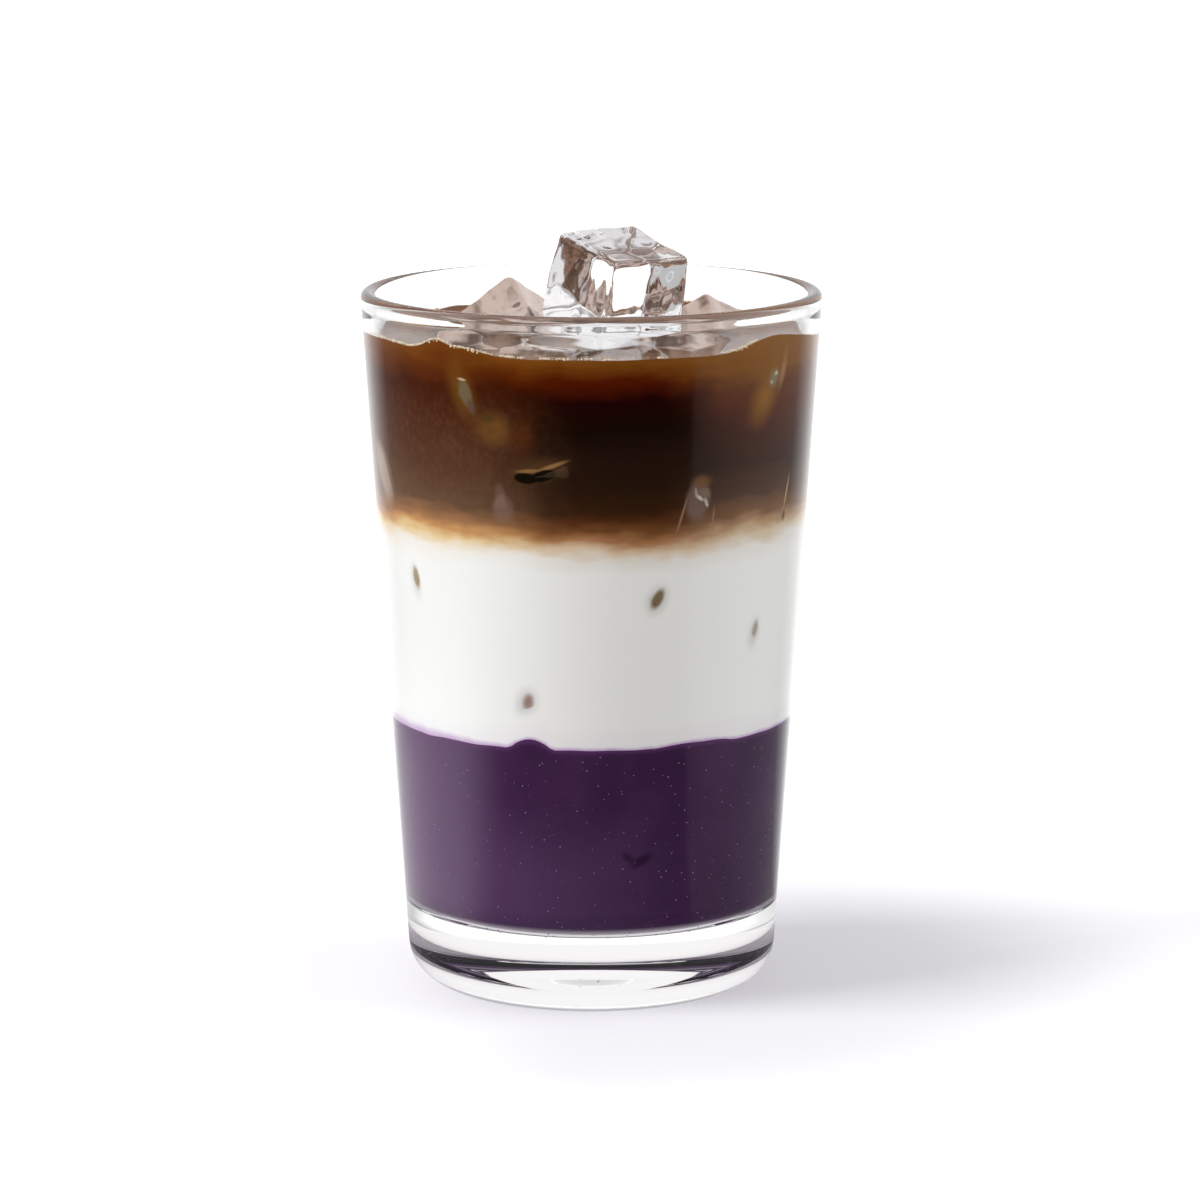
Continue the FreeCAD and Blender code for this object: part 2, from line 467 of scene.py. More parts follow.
# Colour by height at three places round the front. The ramps left and right of the front are lighter than the
# middle one, partly from the drink's own swirls and partly as painted light from the lamps on those sides.
LIT_LEFT_STOPS = [
    (86.0, (0.95, 0.945, 0.93)), (89.6, (0.93, 0.87, 0.80)), (91.6, (0.82, 0.60, 0.32)),
    (93.2, (0.60, 0.31, 0.12)), (94.9, (0.35, 0.165, 0.075)), (98.2, (0.135, 0.070, 0.038)),
    (104.4, (0.10, 0.040, 0.019)), (111.1, (0.08, 0.024, 0.009)), (116.8, (0.064, 0.014, 0.003)),
    (120.5, (0.055, 0.008, 0.0)), (123.4, (0.11, 0.022, 0.001)), (127.0, (0.20, 0.06, 0.005)),
]
MIDDLE_STOPS = [
    (86.0, (0.94, 0.92, 0.89)), (88.7, (0.88, 0.82, 0.75)), (90.6, (0.74, 0.54, 0.36)),
    (92.5, (0.42, 0.19, 0.08)), (94.3, (0.18, 0.065, 0.020)), (96.2, (0.09, 0.027, 0.008)),
    (98.1, (0.042, 0.014, 0.004)), (101.9, (0.024, 0.009, 0.003)), (107.5, (0.018, 0.006, 0.003)),
    (113.2, (0.008, 0.002, 0.0)), (118.9, (0.014, 0.0, 0.0)), (122.6, (0.09, 0.008, 0.0)),
    (125.5, (0.21, 0.062, 0.006)), (127.0, (0.24, 0.085, 0.015)),
]
LIT_RIGHT_STOPS = [
    (86.0, (0.93, 0.92, 0.90)), (89.5, (0.88, 0.83, 0.78)), (92.0, (0.70, 0.54, 0.38)),
    (93.8, (0.48, 0.30, 0.17)), (96.0, (0.22, 0.11, 0.055)), (99.5, (0.09, 0.045, 0.028)),
    (105.3, (0.05, 0.022, 0.014)), (111.0, (0.07, 0.022, 0.013)), (116.7, (0.11, 0.028, 0.013)),
    (120.4, (0.13, 0.040, 0.012)), (123.3, (0.22, 0.08, 0.014)), (127.0, (0.27, 0.11, 0.02)),
]


def drink_colour(graph, place, x, level):
    """Milk, blend and coffee as one colour that depends on the place. The left and right ramps are lighter
    than the middle: partly the drink's own swirls, partly painted light from the lamps on those sides.
    """
    cloud = graph.add("ShaderNodeTexNoise", {}, {"Vector": place, "Scale": 0.07, "Detail": 3.0})
    flat = graph.add("ShaderNodeMapping", {}, {"Vector": place, "Scale": (0.14, 0.14, 0.50)})
    streak = graph.add("ShaderNodeTexNoise", {}, {"Vector": flat, "Scale": 1.0, "Detail": 4.0})
    drifted = level + (cloud - 0.5) * 5.0 + (streak - 0.5) * 3.0
    left = height_colour(graph, drifted, LIT_LEFT_STOPS)
    middle = height_colour(graph, drifted, MIDDLE_STOPS)
    right = height_colour(graph, drifted, LIT_RIGHT_STOPS)
    wander = x + (cloud - 0.5) * 12.0
    colour = graph.mix(wander.step(-24.0, -2.0), left, middle)
    colour = graph.mix(wander.step(12.0, 30.0), colour, right)
    grain = graph.add("ShaderNodeTexNoise", {}, {"Vector": place, "Scale": 0.8, "Detail": 4.0})
    haze = grain.step(0.40, 0.75) * level.step(94.0, 101.0) * level.step(124.0, 114.0)
    return graph.mix(haze * wander.step(0.0, -22.0) * 0.09, colour, (0.26, 0.145, 0.085))


# %% [markdown]
# Ice that has sunk out of sight still shows where it leans on the glass: the thin film of drink there lets
# light in, so each touch has an amber halo, a grey heart and sometimes a bright line. They are painted on the
# drink's side in millimetres round the wall from the front and upwards; the amber halos are painted light,
# and the bright lines and glints are painted highlights.

# %% Where sunk ice leans on the glass
AMBER = (0.17, 0.070, 0.008)
OLIVE = (0.15, 0.105, 0.055)
PAINTED_GLINT_CREAM = (0.62, 0.47, 0.30)
COFFEE_TOUCHES_AND_GLINTS = [
    # Amber halos are painted light; the cream and near-white spots and lines are painted highlights.
    ((-25.0, 119.6), (3.9, 8.0), 20, 0.0, AMBER, 0.80),
    ((-24.2, 119.4), (1.6, 3.3), 18, 0.55, OLIVE, 0.95),
    ((-23.1, 117.0), (1.1, 2.2), 16, 0.4, (0.12, 0.06, 0.045), 0.9),
    ((-24.9, 121.9), (1.3, 0.34), -8, 0.2, PAINTED_GLINT_CREAM, 0.85),
    ((-18.6, 113.0), (5.4, 4.6), -10, 0.0, (0.19, 0.080, 0.018), 0.85),
    ((-19.7, 115.0), (2.3, 1.8), 0, 0.1, (0.07, 0.034, 0.010), 0.75),
    ((-19.0, 112.7), (2.0, 1.5), 0, 0.1, (0.10, 0.040, 0.010), 0.6),
    ((-13.0, 112.0), (3.4, 4.6), 0, 0.0, (0.12, 0.028, 0.003), 0.5),
    ((-9.6, 105.9), (8.0, 3.2), 10, 0.0, (0.10, 0.046, 0.018), 0.8),
    ((-11.8, 105.5), (3.6, 0.55), 4, 0.2, (0.30, 0.15, 0.06), 0.8),
    ((-7.2, 106.6), (4.2, 0.60), 20, 0.2, (0.34, 0.17, 0.06), 0.85),
    ((-12.4, 104.1), (2.6, 1.15), -4, 0.7, (0.006, 0.003, 0.001), 1.0),
    ((-9.0, 104.7), (3.0, 1.20), 16, 0.7, (0.006, 0.003, 0.001), 1.0),
    ((-17.6, 100.4), (1.5, 3.2), 6, 0.4, (0.19, 0.105, 0.080), 0.55),
    ((-17.2, 98.0), (2.9, 3.6), 0, 0.4, (0.24, 0.145, 0.110), 0.55),
    ((21.0, 99.4), (3.2, 5.0), -10, 0.5, (0.20, 0.128, 0.098), 0.75),
    ((21.8, 102.9), (3.0, 1.9), 0, 0.1, (0.18, 0.080, 0.028), 0.85),
    ((22.4, 100.6), (1.9, 1.5), 0, 0.3, (0.19, 0.135, 0.095), 0.9),
    ((21.4, 99.9), (1.5, 0.50), -35, 0.2, (0.70, 0.60, 0.52), 0.95),
    ((22.9, 98.9), (0.5, 1.3), 24, 0.3, (0.60, 0.52, 0.46), 0.9),
    ((20.6, 100.9), (0.4, 1.3), 10, 0.3, (0.42, 0.33, 0.26), 0.8),
    ((17.7, 96.6), (0.36, 5.2), -17, 0.2, (0.33, 0.20, 0.12), 0.8),
    ((24.6, 95.8), (0.34, 3.4), -5, 0.2, (0.30, 0.18, 0.11), 0.75),
    ((36.4, 117.8), (4.9, 8.2), -26, 0.0, (0.27, 0.115, 0.018), 0.95),
    ((38.7, 120.9), (1.9, 2.5), -12, 0.2, (0.24, 0.20, 0.12), 0.9),
    ((39.3, 121.7), (0.8, 0.5), 20, 0.2, (0.62, 0.56, 0.40), 0.9),
    ((38.0, 120.2), (0.7, 0.5), -30, 0.2, (0.55, 0.50, 0.36), 0.8),
    ((41.4, 121.6), (1.4, 4.6), -16, 0.0, (0.42, 0.24, 0.12), 0.6),
    ((45.9, 98.2), (0.4, 5.0), -14, 0.2, (0.60, 0.38, 0.22), 0.85),
    ((45.3, 93.9), (0.9, 1.5), 0, 0.2, (0.09, 0.05, 0.02), 0.8),
    ((-51.4, 101.5), (4.0, 8.0), 30, 0.4, (0.50, 0.37, 0.30), 0.7),
    ((-48.6, 101.6), (0.45, 6.6), 32, 0.2, (0.12, 0.055, 0.03), 0.8),
]
MILK_TOUCHES = [
    ((-40.6, 81.9), (2.4, 5.2), 14, 0.1, (0.74, 0.72, 0.68), 0.8),
    ((-40.2, 82.7), (1.35, 2.9), 14, 0.4, (0.40, 0.28, 0.18), 0.95),
    ((13.1, 81.0), (3.2, 4.4), -30, 0.1, (0.55, 0.51, 0.45), 0.7),
    ((13.2, 81.2), (1.45, 2.8), -30, 0.4, (0.20, 0.135, 0.07), 1.0),
    ((37.3, 72.4), (2.6, 4.4), -15, 0.1, (0.58, 0.55, 0.52), 0.6),
    ((37.6, 73.2), (1.1, 2.3), -15, 0.3, (0.42, 0.35, 0.28), 0.9),
    ((-13.4, 61.0), (3.6, 4.8), -20, 0.1, (0.60, 0.57, 0.57), 0.75),
    ((-13.0, 61.5), (1.7, 2.2), -20, 0.2, (0.33, 0.19, 0.16), 0.95),
]


PUREE_MARKS_AND_HIGHLIGHT = [
    # The first is a painted highlight on the swell at the top of the puree; the two dark ones are marks.
    ((-13.0, 53.6), (2.6, 0.9), 6, 0.0, (0.40, 0.17, 0.46), 0.75),
    ((11.0, 30.8), (4.2, 1.5), 24, 0.2, (0.020, 0.005, 0.025), 0.75),
    ((8.0, 31.6), (2.4, 1.2), -30, 0.2, (0.020, 0.005, 0.025), 0.6),
]

# %% [markdown]
# The milk takes a little violet where it lies on the puree, and the puree is a shade brighter there. On the
# left, where most of the light comes from, both are painted lighter, as painted light.

# %% Side finishes
def coffee_side(graph):
    place, x, y, level, wall = drink_place(graph)
    return against_glass(graph, paint(graph, wall, drink_colour(graph, place, x, level), COFFEE_TOUCHES_AND_GLINTS))


def milk_side(graph):
    place, x, y, level, wall = drink_place(graph)
    colour = paint(graph, wall, drink_colour(graph, place, x, level), MILK_TOUCHES)
    depth = x.step(-34.0, -12.0, 1.9, 0.75)
    cloud = graph.add("ShaderNodeTexNoise", {}, {"Vector": place, "Scale": 0.35, "Detail": 3.0})
    above = (level - PUREE_TOP / MM + (cloud - 0.5) * 0.7) / depth
    stain = above.step(1.15, -0.1)
    veil = (level + (cloud - 0.5) * 3.0).step(PUREE_TOP / MM + 5.5, PUREE_TOP / MM)
    colour = graph.mix(veil * 0.16, colour, (0.66, 0.50, 0.74))
    return against_glass(graph, graph.mix(stain, colour, (0.56, 0.38, 0.63)))


def puree_side(graph):
    place, x, y, level, wall = drink_place(graph)
    cloud = graph.add("ShaderNodeTexNoise", {}, {"Vector": place, "Scale": 0.09, "Detail": 4.0})
    colour = graph.mix(cloud.step(0.35, 0.7), (0.044, 0.0145, 0.055), (0.058, 0.020, 0.070))
    low = level.step(44.0, 26.0) * x.step(24.0, -14.0)
    colour = graph.mix(low * 0.75, colour, (0.088, 0.042, 0.110))
    # painted light: the puree is lighter on the left, towards the lamp on that side
    colour = graph.mix(x.step(-10.0, -34.0), colour, (0.105, 0.040, 0.125))
    colour = paint(graph, wall, colour, PUREE_MARKS_AND_HIGHLIGHT)
    # painted light: the underside at the floor of the glass is pale, as if lit through the clear foot
    under = level.step(FLOOR / MM + 2.4, FLOOR / MM + 0.9)
    colour = graph.mix(under, colour, (0.50, 0.44, 0.51))
    top = level.step(PUREE_TOP / MM - 1.1, PUREE_TOP / MM)
    return against_glass(graph, graph.mix(top * 0.7, colour, (0.12, 0.040, 0.14)))


def inside_cube(graph, place, name, grown):
    """1 where a cube, made larger by a share, passes through a place, fading at its faces."""
    sizes, heading, share, rise, turns = ICE[name]
    turned = {"Vector": place, "Location": ice_middle(name) / MM,
              "Rotation": [math.radians(turn) for turn in reversed(turns)],
              "Scale": [size * grown / 2 for size in sizes]}
    local = graph.add("ShaderNodeMapping", {"vector_type": "TEXTURE"}, turned)
    away = graph.add("ShaderNodeVectorMath", {"operation": "ABSOLUTE"}, [local])
    a = graph.add("ShaderNodeSeparateXYZ", {}, [away])
    return a.most(graph.other(a, "Y")).most(graph.other(a, "Z")).step(1.06, 0.92)


def coffee_surface(graph):
    """Dark and shiny, and pale under the cubes: painted light that the cubes lead down into the drink."""
    place, x, y, level, wall = drink_place(graph)
    cloud = graph.add("ShaderNodeTexNoise", {}, {"Vector": place, "Scale": 0.16, "Detail": 3.0})
    colour = graph.mix(cloud.step(0.35, 0.65), (0.085, 0.036, 0.018), (0.21, 0.108, 0.062))
    for name in ICE:
        tall = name == "ice_tall"
        patchy = cloud.step(0.0, 0.2) if tall else cloud.step(0.38, 0.60)
        # painted light: pale patches where the cubes lead light down
        painted_light_tone = (0.86, 0.83, 0.84) if tall else (0.64, 0.50, 0.43)
        colour = graph.mix(inside_cube(graph, place, name, 1.28 if tall else 1.08) * patchy, colour, painted_light_tone)
    out = (x * x + y * y).math("SQRT")
    colour = graph.mix(out.step(30.0, 36.0), colour, (0.22, 0.112, 0.070))
    flat = graph.add("ShaderNodeCombineXYZ", {}, [x, y])
    thin = graph.spot(flat, (-35.5, 16.0), (3.4, 12.0), -24, 0.2)
    colour = graph.mix(thin * 0.8, colour, (0.60, 0.29, 0.04))
    return surface(graph, Base_Color=colour, Roughness=0.03, IOR=1.34, Specular_IOR_Level=0.08)


coffee_finish = material("coffee_side", coffee_side)
milk_finish = material("milk_side", milk_side)
puree_finish = material("puree_side", puree_side)
top_finish = material("coffee_surface", coffee_surface)

# %% The puree
puree = turn("blueberry_puree", puree_profile(), [puree_finish], lift_puree)
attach(puree, "root")
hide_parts("blueberry_layer")

# %% The milk
def milk_profile():
    under = PUREE_TOP - 0.3 * MM
    edge = inside_radius(PUREE_TOP)
    profile = [(edge * share, under) for share in (0, 0.25, 0.5, 0.7, 0.85, 0.94)]
    profile += [(inside_radius(h) + BITE * 0.8, h) for h in side_heights(under, MILK_TOP, 16)]
    return profile + [(inside_radius(MILK_TOP) * 0.5, MILK_TOP), (0, MILK_TOP)]


def lift_milk(x, y, height):
    """Bend the milk's underside over the swells of the puree."""
    share = 1 - smooth(PUREE_TOP, PUREE_TOP + 12 * MM, height)
    return height + share * (puree_level(x, y) - PUREE_TOP)


milk = turn("milk", milk_profile(), [milk_finish], lift_milk)
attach(milk, "root")
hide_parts("milk_layer")

# %% [markdown]
# ## The coffee
# The coffee's edge climbs the wall in a meniscus, and stands higher where ice pushes up beside the
# glass. Its side has the colours of the drink and its top is a still, dark, shiny surface.

# %% The coffee
EDGE_SWELLS = [(-43.5, 1.95, 5.0), (-34.0, 1.2, 8.0), (-70.0, 0.9, 22.0), (53.0, 2.3, 11.0),
               (68.0, 1.1, 12.0), (150.0, 1.0, 16.0), (-140.0, 0.8, 14.0)]


def edge_rise(heading):
    """How far the coffee climbs the wall at a heading, in millimetres."""
    a = math.radians(heading)
    rise = 0.45 + 0.15 * noise.noise(Vector((math.cos(a), math.sin(a), 3.0)) * 5)
    for middle, height, half_width in EDGE_SWELLS:
        away = (heading - middle + 180) % 360 - 180
        rise += height * math.exp(-(away / half_width) ** 2)
    return rise


def lift_coffee(x, y, height):
    """Raise the coffee's edge, less and less towards the middle."""
    if height < COFFEE_TOP - 3 * MM:
        return height
    share = smooth(COFFEE_TOP - 3 * MM, COFFEE_TOP, height)
    inward = (inside_radius(COFFEE_TOP) - math.hypot(x, y)) / MM
    heading = math.degrees(math.atan2(y, x)) + 90
    return height + share * edge_rise(heading) * MM * math.exp(-max(inward, 0) / 0.9)


def coffee_profile():
    rows = side_heights(MILK_TOP, COFFEE_TOP, 14)
    edge = inside_radius(COFFEE_TOP)
    profile = [(0, MILK_TOP), (inside_radius(MILK_TOP) * 0.5, MILK_TOP)]
    profile += [(inside_radius(h) + BITE * 0.8, h) for h in rows]
    profile += [(edge - inset * MM, COFFEE_TOP) for inset in (0.15, 0.35, 0.6, 0.9, 1.3, 1.8, 2.5, 3.5, 5)]
    return profile + [(edge * share, COFFEE_TOP) for share in (0.75, 0.5, 0.25, 0)]


side_faces = 1 + 1 + 14 + 2
coffee = turn("coffee", coffee_profile(), [coffee_finish, top_finish], lift_coffee,
              lambda step: 0 if step <= side_faces else 1)
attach(coffee, "root")
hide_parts("coffee_layer")

# %% [markdown]
# ## Foam on the waterline and specks in the puree
# Fine foam gathers where the coffee meets the glass and the ice, and pale specks of fruit show
# against the glass in the puree. Both are many tiny balls that follow a line or a surface, so
# Geometry Nodes place them: points are made, thinned and shaken by a seed, and turned into balls.

# %% Balls placed by Geometry Nodes
def ball_tree(name, scatter, finish):
    """A tree that puts small balls on points made by scatter(graph, geometry, inputs)."""
    tree = bpy.data.node_groups.new(name, "GeometryNodeTree")
    graph = Graph(tree)
    interface = tree.interface
    interface.new_socket("Geometry", in_out="INPUT", socket_type="NodeSocketGeometry")
    for label in ("Spacing", "Smallest", "Largest", "Shake"):
        interface.new_socket(label, in_out="INPUT", socket_type="NodeSocketFloat")
    interface.new_socket("Seed", in_out="INPUT", socket_type="NodeSocketInt")
    interface.new_socket("Geometry", in_out="OUTPUT", socket_type="NodeSocketGeometry")
    start = graph.add("NodeGroupInput")
    points = scatter(graph, start)
    vector = {"data_type": "FLOAT_VECTOR"}
    shake = graph.other(start, "Shake")
    seed = graph.other(start, "Seed")
    low = graph.add("ShaderNodeCombineXYZ", {}, [shake * -1.0, shake * -1.0, shake * -0.5])
    high = graph.add("ShaderNodeCombineXYZ", {}, [shake, shake, shake])
    offset = graph.add("FunctionNodeRandomValue", vector, {0: low, 1: high, "Seed": seed})
    moved = graph.add("GeometryNodeSetPosition", {}, {"Geometry": points, "Offset": offset})
    sizes = {2: graph.other(start, "Smallest"), 3: graph.other(start, "Largest"), "Seed": seed}
    size = graph.add("FunctionNodeRandomValue", {"data_type": "FLOAT"}, sizes, 1)
    ball = graph.add("GeometryNodeMeshIcoSphere", {}, {"Radius": 1.0, "Subdivisions": 2})
    placed = graph.add("GeometryNodeInstanceOnPoints", {}, {"Points": moved, "Instance": ball, "Scale": size})
    real = graph.add("GeometryNodeRealizeInstances", {}, [placed])
    smooth_balls = graph.add("GeometryNodeSetShadeSmooth", {}, [real])
    coated = graph.add("GeometryNodeSetMaterial", {}, {"Geometry": smooth_balls, "Material": finish})
    graph.add("NodeGroupOutput", {}, [coated])
    return tree


def grow(name, mesh, tree, **settings):
    """Run a tree on a mesh and keep the result as a plain mesh object."""
    source = bpy.data.objects.new(name + "_source", mesh)
    bpy.context.scene.collection.objects.link(source)
    modifier = source.modifiers.new("nodes", "NODES")
    modifier.node_group = tree
    for item in tree.interface.items_tree:
        if item.in_out == "INPUT" and item.name in settings:
            modifier[item.identifier] = settings[item.name]
    bpy.context.view_layer.update()
    evaluated = source.evaluated_get(bpy.context.evaluated_depsgraph_get())
    result = bpy.data.meshes.new_from_object(evaluated)
    source.modifiers.remove(modifier)
    bpy.data.objects.remove(source)
    made = bpy.data.objects.new(name, result)
    bpy.context.scene.collection.objects.link(made)
    print(f"{name}: {len(result.polygons)} faces")
    return made


def along_lines(graph, start):
    """Points along the loose edges of a mesh, some of them dropped."""
    curve = graph.add("GeometryNodeMeshToCurve", {}, [start])
    spacing = {"Curve": curve, "Length": graph.other(start, "Spacing")}
    points = graph.add("GeometryNodeCurveToPoints", {"mode": "LENGTH"}, spacing)
    chance = {"data_type": "BOOLEAN"}
    drop = graph.add("FunctionNodeRandomValue", chance, {"Probability": 0.2, "Seed": 5}, 3)
    return graph.add("GeometryNodeDeleteGeometry", {"domain": "POINT"}, [points, drop])


def over_faces(graph, start):
    """Points spread over a surface, each surface square of the spacing holding about one."""
    spacing = graph.other(start, "Spacing")
    density = (spacing * spacing).math("POWER", -1.0)
    spread = {"Mesh": start, "Density": density, "Seed": graph.other(start, "Seed")}
    return graph.add("GeometryNodeDistributePointsOnFaces", {}, spread)


# %% Foam finish and the runs of foam
def foam_bubble(graph):
    return surface(graph, Base_Color=(0.82, 0.66, 0.47), Roughness=0.15, IOR=1.34)


def fruit_speck(graph):
    return surface(graph, Base_Color=(0.24, 0.14, 0.27), Roughness=0.8, Specular_IOR_Level=0.0)


foam_finish = material("foam", foam_bubble)
speck_finish = material("fruit_speck", fruit_speck)
FOAM_RUNS = [(-78, -26, 0.0), (-46, -28, -0.3), (-24, -17, 0.1), (-13, -6, 0.0),
             (-3, 0, 0.1), (3, 6, 0.0), (17, 19, 0.0), (36, 47, 0.0), (39, 45, -0.3), (72, 80, 0.0),
             (95, 130, 0.0), (150, 205, 0.0), (228, 262, 0.0)]


def foam_lines():
    """Loose edges along the coffee's edge, one run for each stretch of foam."""
    tools = bmesh.new()
    for first, last, drop in FOAM_RUNS:
        steps = max(3, int((last - first) / 1.5))
        previous = None
        for i in range(steps + 1):
            heading = first + (last - first) * i / steps
            height = COFFEE_TOP + (edge_rise(heading) + drop + 0.12) * MM
            x, y = heading_xy(inside_radius(height) - 0.18 * MM, heading)
            vert = tools.verts.new((x, y, height))
            if previous:
                tools.edges.new((previous, vert))
            previous = vert
    mesh = bpy.data.meshes.new("foam_lines")
    tools.to_mesh(mesh)
    tools.free()
    return mesh


foam = grow("foam", foam_lines(), ball_tree("foam", along_lines, foam_finish), Spacing=0.24 * MM,
            Smallest=0.10 * MM, Largest=0.27 * MM, Shake=0.12 * MM, Seed=3)
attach(foam, "root")

specks = grow("puree_specks", puree.data.copy(), ball_tree("specks", over_faces, speck_finish),
              Spacing=3.4 * MM, Smallest=0.06 * MM, Largest=0.17 * MM, Shake=0.01 * MM, Seed=11)
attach(specks, "root")

# %% [markdown]
# ## Ice
# The cubes come from a small tray and have begun to melt: edges rounded, faces dished and faintly
# wavy. Each is a cube whose faces are cut fine, with every point pulled onto a rounded box and then
# pushed in by the dish and by slow noise. Ice bends light by 1.31.

# %% Ice cubes
def clear_ice(graph):
    body = surface(graph, Base_Color=(0.97, 0.975, 0.985), Roughness=0.0, IOR=1.31,
                   Transmission_Weight=1.0)
    return see_through(graph, body, (0.9, 0.9, 0.91))


ice_finish = material("clear_ice", clear_ice)
ICE_STEPS = 28
ICE_DRAFT = math.radians(2.6)
ICE_ROUND = 1.5 * MM
ICE_DISH = 0.3 * MM


def melted(point, half, seed):
    """Move a point of a plain cube (each part from -1 to 1) onto the melted cube."""
    dish = Vector((0, 0, 0))
    for axis in range(3):
        if abs(point[axis]) > 0.999:
            u, v = [point[k] for k in range(3) if k != axis]
            dish[axis] = -math.copysign(ICE_DISH * (1 - u * u) * (1 - v * v), point[axis])
    full = Vector([point[k] * half[k] for k in range(3)])
    core = Vector([max(-half[k] + ICE_ROUND, min(half[k] - ICE_ROUND, full[k])) for k in range(3)])
    away = full - core
    if away.length > 1e-9:
        full = core + away.normalized() * ICE_ROUND
    splay = 1 - full.z * math.tan(ICE_DRAFT) / half.x
    full = Vector((full.x * splay, full.y * splay, full.z))
    wave = noise.noise_vector((full + Vector((seed, 0, 0))) / (5.5 * MM)) * 0.3 * MM
    ripple = noise.noise_vector((full + Vector((seed, 1, 0))) / (2.2 * MM)) * 0.07 * MM
    return full + dish + wave + ripple


def ice_cube(name, seed):
    """One melted cube, turned and moved to its place above or in the coffee."""
    sizes, heading, share, rise, turns = ICE[name]
    middle = ice_middle(name)
    turn_by = Euler([math.radians(turns[2]), math.radians(turns[1]), math.radians(turns[0])], "XYZ")
    half = Vector(sizes) * 0.5 * MM
    tools = bmesh.new()
    bmesh.ops.create_cube(tools, size=2.0)
    bmesh.ops.subdivide_edges(tools, edges=tools.edges[:], cuts=ICE_STEPS - 1, use_grid_fill=True)
    for vert in tools.verts:
        spread = Vector([math.copysign(1 - (1 - abs(c)) ** 1.25, c) for c in vert.co])
        local = melted(spread, half, seed)
        local.rotate(turn_by)
        place = local + middle
        room = inside_radius(place.z) - 0.35 * MM
        out = math.hypot(place.x, place.y)
        if out > room and place.z < HEIGHT:
            place.x *= room / out
            place.y *= room / out
        vert.co = place
    return finish_mesh("melted_" + name, tools, [ice_finish])


for number, name in enumerate(ICE):
    cube = ice_cube(name, 0.1 * number)
    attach(cube, "root")
    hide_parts(name)

# %% [markdown]
# ## Sunk ice
# More cubes float inside the coffee and the milk, and show only where they lean on the glass. Each
# is turned so that a corner or an edge points at the wall, pushed against it, and flattened there
# by the wall. What is left under the drink's surface stays hidden in it.

# %% Sunk ice
CORNER = (1, 1, 1)
EDGE = (1, 1, 0)
SUNK_ICE = [
    (-24.2, 119.4, 7.0, CORNER, 1.0, 20), (-10.4, 104.5, 13.0, EDGE, 0.35, 116),
    (-17.3, 98.8, 12.0, CORNER, 1.1, 60), (22.3, 100.2, 12.0, CORNER, 1.1, 10),
    (38.7, 120.7, 6.0, CORNER, 0.9, 80), (45.8, 98.0, 11.0, EDGE, 0.3, -14),
    (-50.0, 102.0, 12.0, EDGE, 0.4, 32), (-40.3, 82.6, 12.0, CORNER, 0.8, 14),
    (13.1, 81.2, 13.0, CORNER, 0.9, -30), (37.6, 73.1, 12.0, CORNER, 0.7, -15),
    (-13.1, 61.4, 11.0, CORNER, 0.8, -20),
]
SUNK_STEPS = 16
SUNK_BITE = 0.075 * MM


def sunk_finish(graph):
    """The drink's colour seen through the ice that touches the glass, with its painted halos and highlights.
    """
    place, x, y, level, wall = drink_place(graph)
    colour = paint(graph, wall, drink_colour(graph, place, x, level), COFFEE_TOUCHES_AND_GLINTS + MILK_TOUCHES)
    coffee_side_share = level.step(90.0, 95.0)
    ice_colour = graph.mix(coffee_side_share, (0.40, 0.31, 0.22), (0.21, 0.145, 0.085))
    return against_glass(graph, graph.mix(0.14, colour, ice_colour))


def sunk_cube(joined, around, height, size, part, push, twist):
    """Add one cube that leans on the wall at millimetres round from the front and up."""
    heading = math.degrees(around * MM / inside_radius(COFFEE_TOP))
    height *= MM
    x, y = heading_xy(1, heading)
    outward = Vector((x * math.cos(LEAN), y * math.cos(LEAN), -math.sin(LEAN)))
    turn_by = Vector(part).normalized().rotation_difference(outward)
    turn_by = Quaternion(outward, math.radians(twist)) @ turn_by
    half = Vector((size, size, size)) * 0.5 * MM
    tools = bmesh.new()
    bmesh.ops.create_cube(tools, size=2.0)
    bmesh.ops.subdivide_edges(tools, edges=tools.edges[:], cuts=SUNK_STEPS - 1, use_grid_fill=True)
    places = [turn_by @ melted(vert.co.copy(), half, size) for vert in tools.verts]
    reach = max(place.dot(outward) for place in places)
    touch = Vector((x * inside_radius(height), y * inside_radius(height), height))
    middle = touch + outward * (push * MM - reach)
    for vert, place in zip(tools.verts, places):
        place += middle
        room = inside_radius(place.z) + SUNK_BITE
        out = math.hypot(place.x, place.y)
        share = min(1.0, room / out)
        vert.co = Vector((place.x * share, place.y * share, place.z))
    mesh = bpy.data.meshes.new("sunk_cube")
    tools.to_mesh(mesh)
    tools.free()
    joined.from_mesh(mesh)
    bpy.data.meshes.remove(mesh)


joined = bmesh.new()
for each in SUNK_ICE:
    sunk_cube(joined, *each)
level_of = joined.verts.layers.float.new("level")
for vert in joined.verts:
    vert[level_of] = vert.co.z / MM
sunk = finish_mesh("sunk_ice", joined, [material("sunk_ice", sunk_finish)])
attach(sunk, "root")

# %% [markdown]
# ## The room
# The table and the walls are white, but the side the viewer stands on is dark, as in a studio. The
# glass mirrors this: dark in front, white where it turns away. One ramp over the heading gives that
# brightness to mirrored and bent rays, for the world and the floor alike. What the eye sees
# directly is plain white, and soft light that falls on the drink is a plain grey.

# %% World and floor
ROOM_STOPS = [(-180, 1.0), (-152, 1.0), (-138, 0.62), (-126, 0.2), (-98, 0.06), (-60, 0.03), (-36, 0.0),
              (50, 0.0), (53, 0.14), (100, 0.22), (126, 0.25), (138, 0.62), (152, 1.0), (180, 1.0)]
ROOM_BRIGHTEST = 1.25
AMBIENT = 0.60


